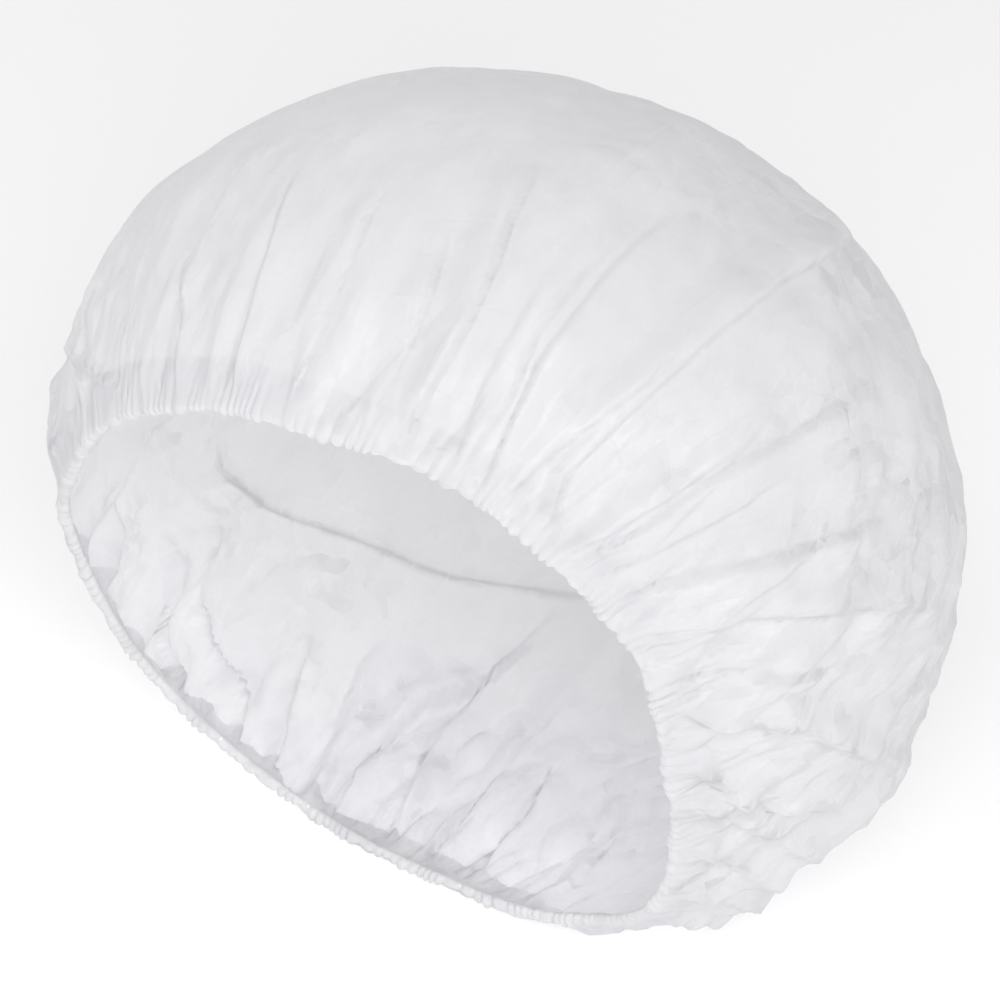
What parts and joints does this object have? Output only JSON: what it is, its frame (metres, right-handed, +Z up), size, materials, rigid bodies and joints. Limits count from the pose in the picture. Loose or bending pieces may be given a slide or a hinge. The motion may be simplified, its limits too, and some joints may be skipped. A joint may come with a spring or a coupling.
{
  "type": "disposable shower cap",
  "caption": "Puffed cap of thin white plastic film, gathered into an elastic hem, lying on its side with the mouth open.",
  "frame": {"origin": "middle of the cap's outline on the surface that it lies on", "axes": "+Z up, +X across the mouth, -Y out of the mouth, which also looks 18 degrees down"},
  "size_m": [0.26, 0.2118, 0.2369],
  "materials": {
    "white_film": "thin translucent white polyethylene film, crinkled, satin",
    "white_elastic": "matt white elastic thread"
  },
  "bodies": {
    "root": {"film_crown": "white_film", "elastic_band": "white_elastic"}
  },
  "joints": []
}
